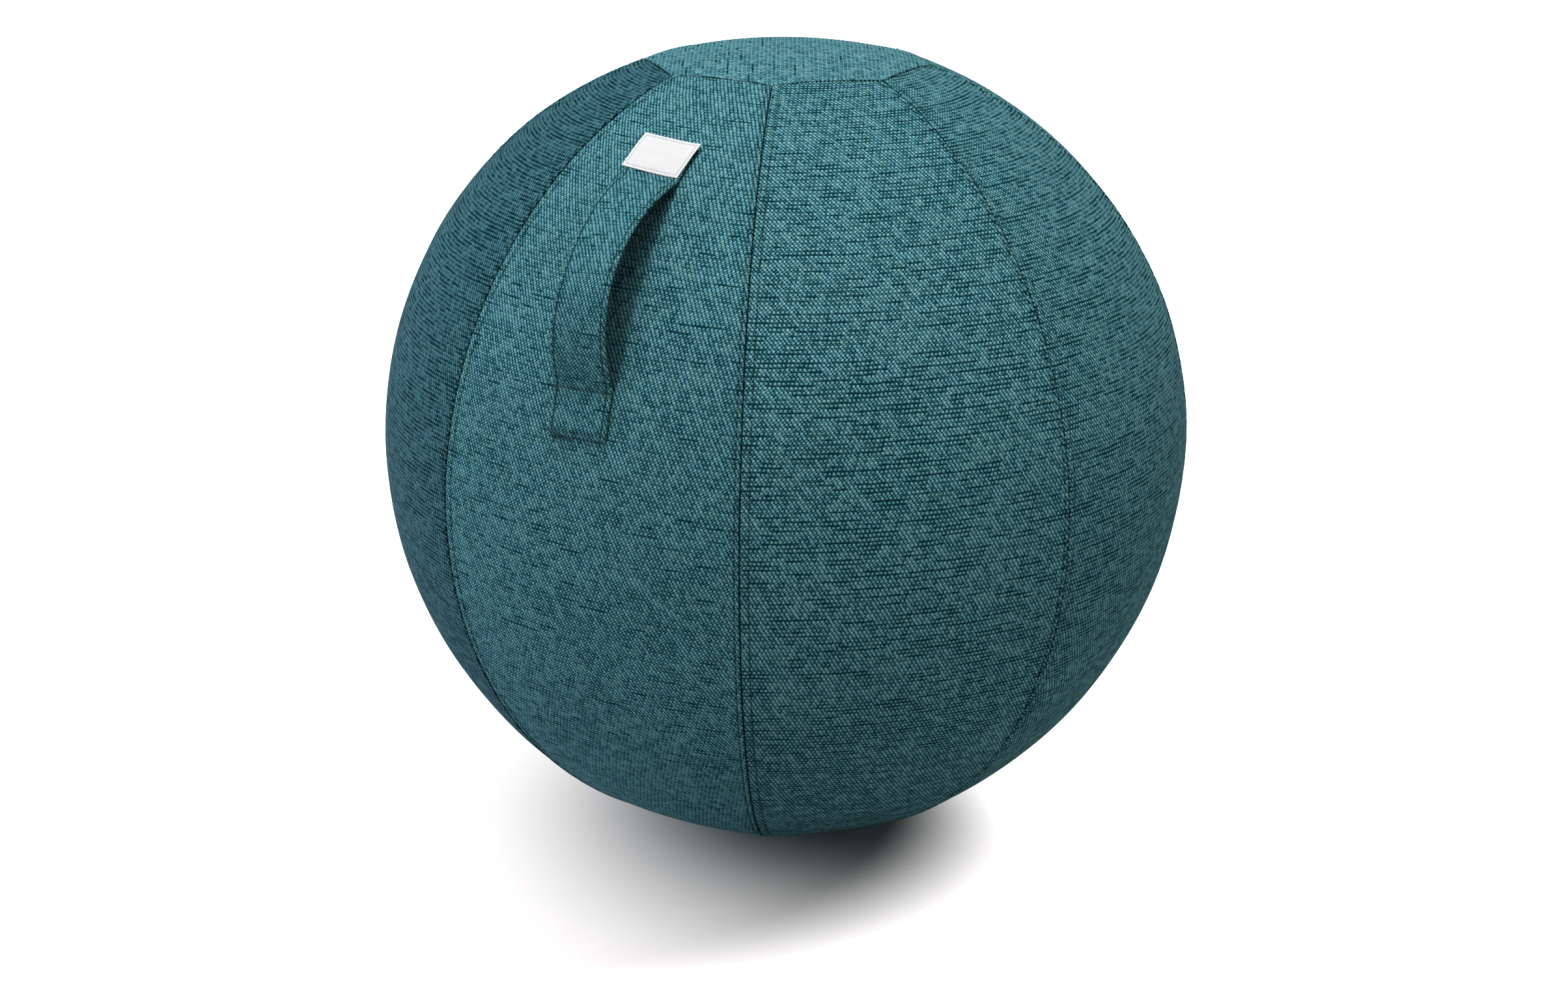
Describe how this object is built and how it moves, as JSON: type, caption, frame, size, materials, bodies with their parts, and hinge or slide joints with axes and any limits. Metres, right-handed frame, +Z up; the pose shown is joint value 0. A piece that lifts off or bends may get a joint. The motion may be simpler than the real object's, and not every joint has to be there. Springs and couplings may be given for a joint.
{
  "type": "sitting ball",
  "caption": "Fabric-covered inflatable sitting ball with a cover of sewn gores and polygonal end caps, a bowed carrying strap, a small blank label and a zip behind.",
  "frame": {"origin": "on the floor, under the ball's axis, in the flat patch it stands on", "axes": "+Z up through the caps; the gore with the carrying strap faces -Y and the zip is behind"},
  "size_m": [0.6434, 0.6434, 0.6395],
  "materials": {
    "cover_fabric": "coarse basket-weave upholstery in teal, with darker slubs",
    "label_fabric": "white woven label, blank, stitched round its edge",
    "zip_tape": "dark teal woven tape",
    "zip_coil": "dark teal nylon coil",
    "zip_metal": "dark enamelled zip metal",
    "bladder_skin": "smooth grey vinyl bladder",
    "valve_plastic": "white moulded valve"
  },
  "bodies": {
    "ball": {"cover_panel_1": "cover_fabric", "cover_panel_2": "cover_fabric", "cover_panel_3": "cover_fabric", "cover_panel_4": "cover_fabric", "cover_panel_5": "cover_fabric", "cover_panel_6": "cover_fabric", "cover_panel_7": "cover_fabric", "cover_panel_8": "cover_fabric", "top_cap": "cover_fabric", "base_cap": "cover_fabric", "handle_upper_end": "cover_fabric", "handle_lower_end": "cover_fabric", "label": "label_fabric", "zip_tape_left": "zip_tape", "zip_tape_right": "zip_tape", "zip_coil_left": "zip_coil", "zip_coil_right": "zip_coil", "zip_top_stop": "zip_metal", "zip_bottom_stop": "zip_metal", "bladder": "bladder_skin", "valve_seat": "valve_plastic", "valve_plug": "valve_plastic"},
    "handle": {"handle_grip": "cover_fabric"},
    "slider": {"zip_slider": "zip_metal"},
    "pull": {"zip_pull": "zip_metal"}
  },
  "joints": [
    {"name": "handle_swing", "type": "hinge", "parent": "ball", "child": "handle", "pos_m": [0, -0.20966, 0.56813], "axis": [0, -0.5771, -0.8166], "range_deg": [-25, 25], "stiffness_Nm_per_rad": 0.05},
    {"name": "zip_slide", "type": "hinge", "parent": "ball", "child": "slider", "pos_m": [0.00118, -0.00285, 0.32163], "axis": [-0.9239, -0.3827, 0], "range_deg": [0, 56.7]},
    {"name": "pull_flip", "type": "hinge", "parent": "slider", "child": "pull", "pos_m": [-0.12448, 0.30051, 0.35778], "axis": [0.9239, 0.3827, 0], "range_deg": [0, 150]}
  ]
}
